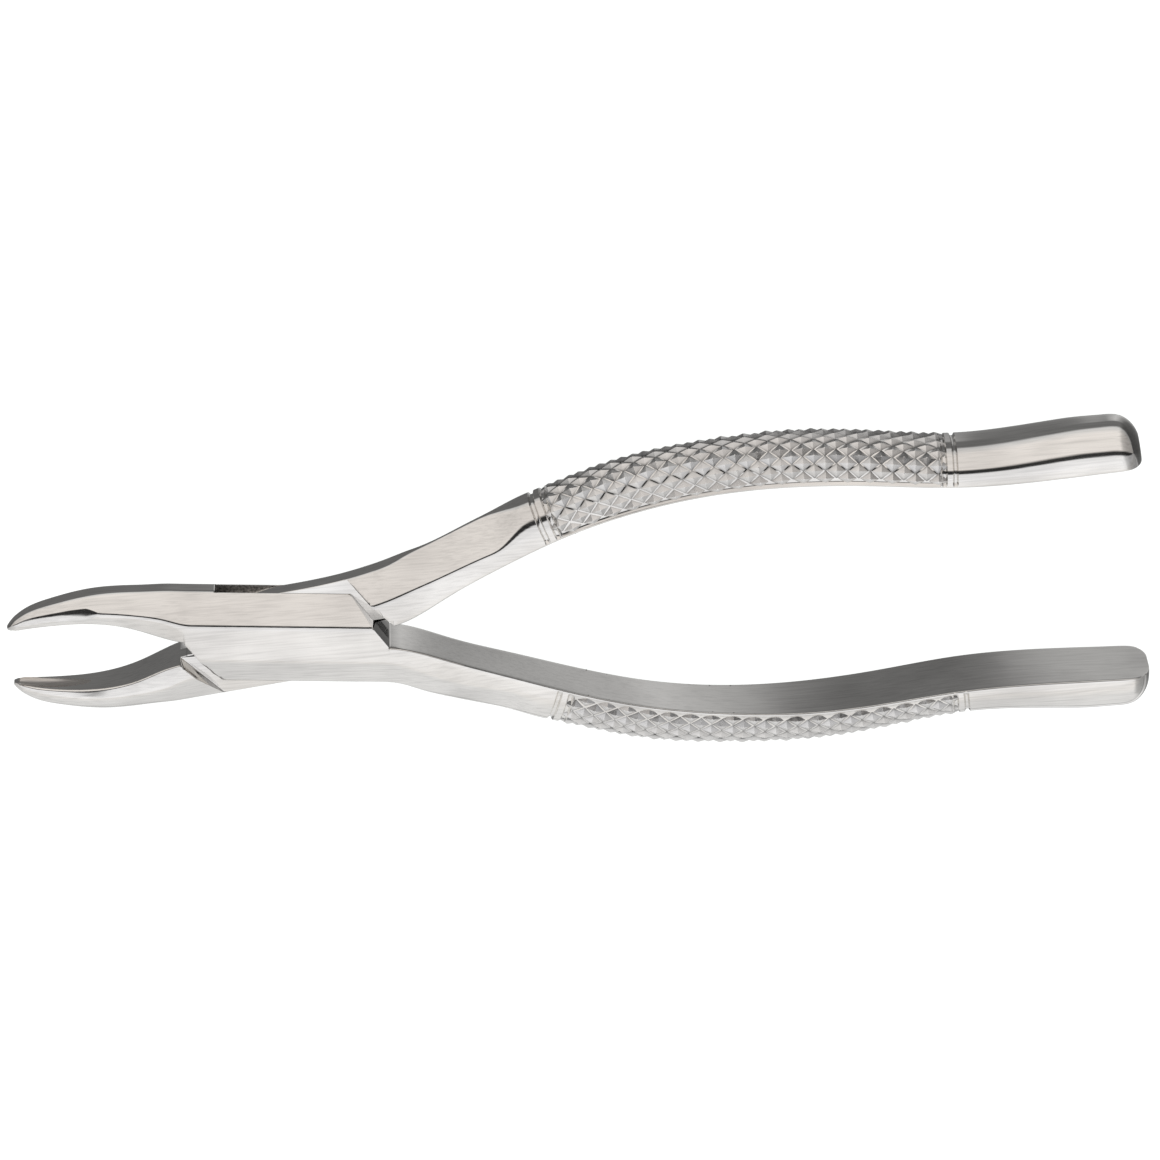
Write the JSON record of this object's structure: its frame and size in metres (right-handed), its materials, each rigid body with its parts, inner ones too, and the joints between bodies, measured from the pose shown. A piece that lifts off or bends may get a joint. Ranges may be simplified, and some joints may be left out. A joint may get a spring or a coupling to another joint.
{
  "type": "extraction forceps",
  "caption": "Dental extraction forceps with hooked, hollow-ground beaks, a box lock on a flush pivot pin and two curved handles with knurled grips.",
  "frame": {"origin": "where the pivot axis meets the flat outer face of the rear cheek", "axes": "+X from the pivot towards the handle ends, +Y towards the side of the tongue half's handle, +Z along the pivot axis towards the front cheek"},
  "size_m": [0.1772, 0.0522, 0.0136],
  "materials": {
    "box_half_steel": "fine satin polish",
    "tongue_half_steel": "fine satin polish",
    "pin_steel": "ground flush and polished"
  },
  "bodies": {
    "box_body": {"box_half": "box_half_steel", "pivot_pin": "pin_steel"},
    "tongue_body": {"tongue_half": "tongue_half_steel"}
  },
  "joints": [
    {"name": "jaw_pivot", "type": "hinge", "parent": "box_body", "child": "tongue_body", "pos_m": [0, 0, 0.0046], "axis": [0, 0, 1], "range_deg": [-11, 16]}
  ]
}
